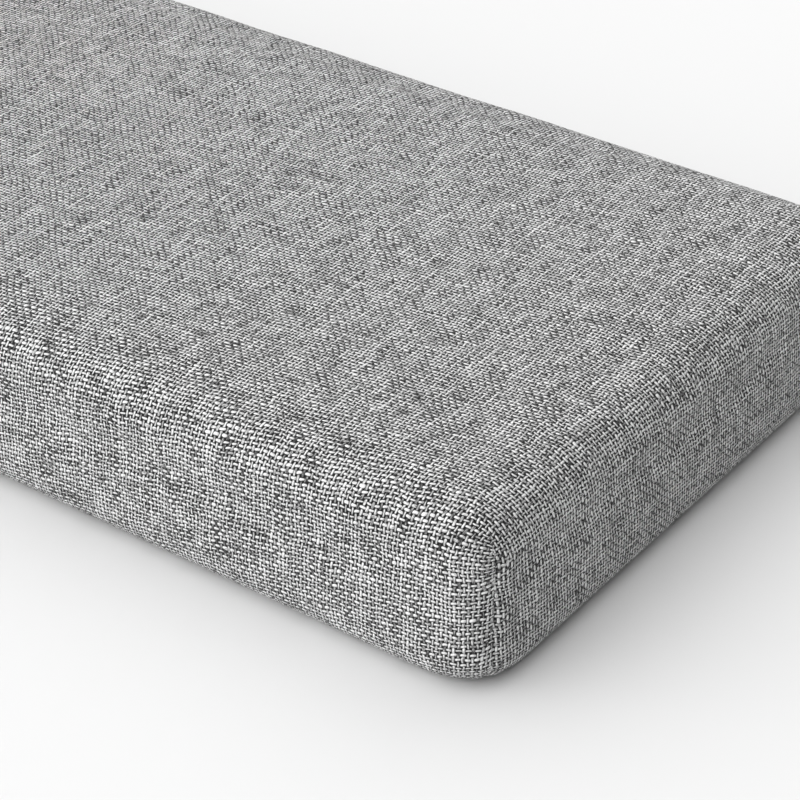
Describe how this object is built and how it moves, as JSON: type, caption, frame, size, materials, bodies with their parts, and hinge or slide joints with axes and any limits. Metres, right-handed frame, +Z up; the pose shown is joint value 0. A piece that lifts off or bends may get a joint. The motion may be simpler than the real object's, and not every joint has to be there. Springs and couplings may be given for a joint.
{
  "type": "kneeling pad",
  "caption": "Long rectangular foam pad in a tight heathered grey woven cover, with a zip along its back wall, for kneeling or sitting on.",
  "frame": {"origin": "centre of the flat underside, at the height of the surface that the pad lies on", "axes": "+X along the length, +Z up out of the top, +Y towards the zipped back wall"},
  "size_m": [0.6, 0.2346, 0.06],
  "materials": {
    "cover_fabric": "heathered grey linen-look plain weave",
    "base_fabric": "dark grey twill with raised grip dots",
    "foam": "open-cell cut foam",
    "wadding": "fluffy bonded wadding",
    "lining": "thin point-bonded non-woven",
    "zip_tape": "close woven tape",
    "zip_coil": "smooth monofilament",
    "zip_metal": "satin plated",
    "sewing_thread": "twisted polyester thread",
    "label_tape": "smooth woven satin, blank"
  },
  "bodies": {
    "pad": {"foam_core": "foam", "wadding_wrap": "wadding", "inner_lining": "lining", "cover_top": "cover_fabric", "cover_base": "base_fabric", "corner_seam_allowances": "cover_fabric", "corner_seam_threads": "sewing_thread", "base_seam_allowance": "cover_fabric", "base_seam_thread": "sewing_thread", "zip_tape_upper": "zip_tape", "zip_tape_lower": "zip_tape", "zip_coil_upper": "zip_coil", "zip_coil_lower": "zip_coil", "zip_top_stops": "zip_metal", "zip_bottom_stop": "zip_metal", "zip_stitches": "sewing_thread", "care_label": "label_tape"},
    "zip_slider": {"zip_slider": "zip_metal"},
    "zip_pull": {"zip_pull": "zip_metal"}
  },
  "joints": [
    {"name": "zip_slide", "type": "slide", "parent": "pad", "child": "zip_slider", "axis": [-1, 0, 0], "range_m": [0, 0.444]},
    {"name": "zip_pull_swing", "type": "hinge", "parent": "zip_slider", "child": "zip_pull", "pos_m": [0.222, 0.1174, 0.024], "axis": [0, 0, -1], "range_deg": [0, 175]}
  ]
}
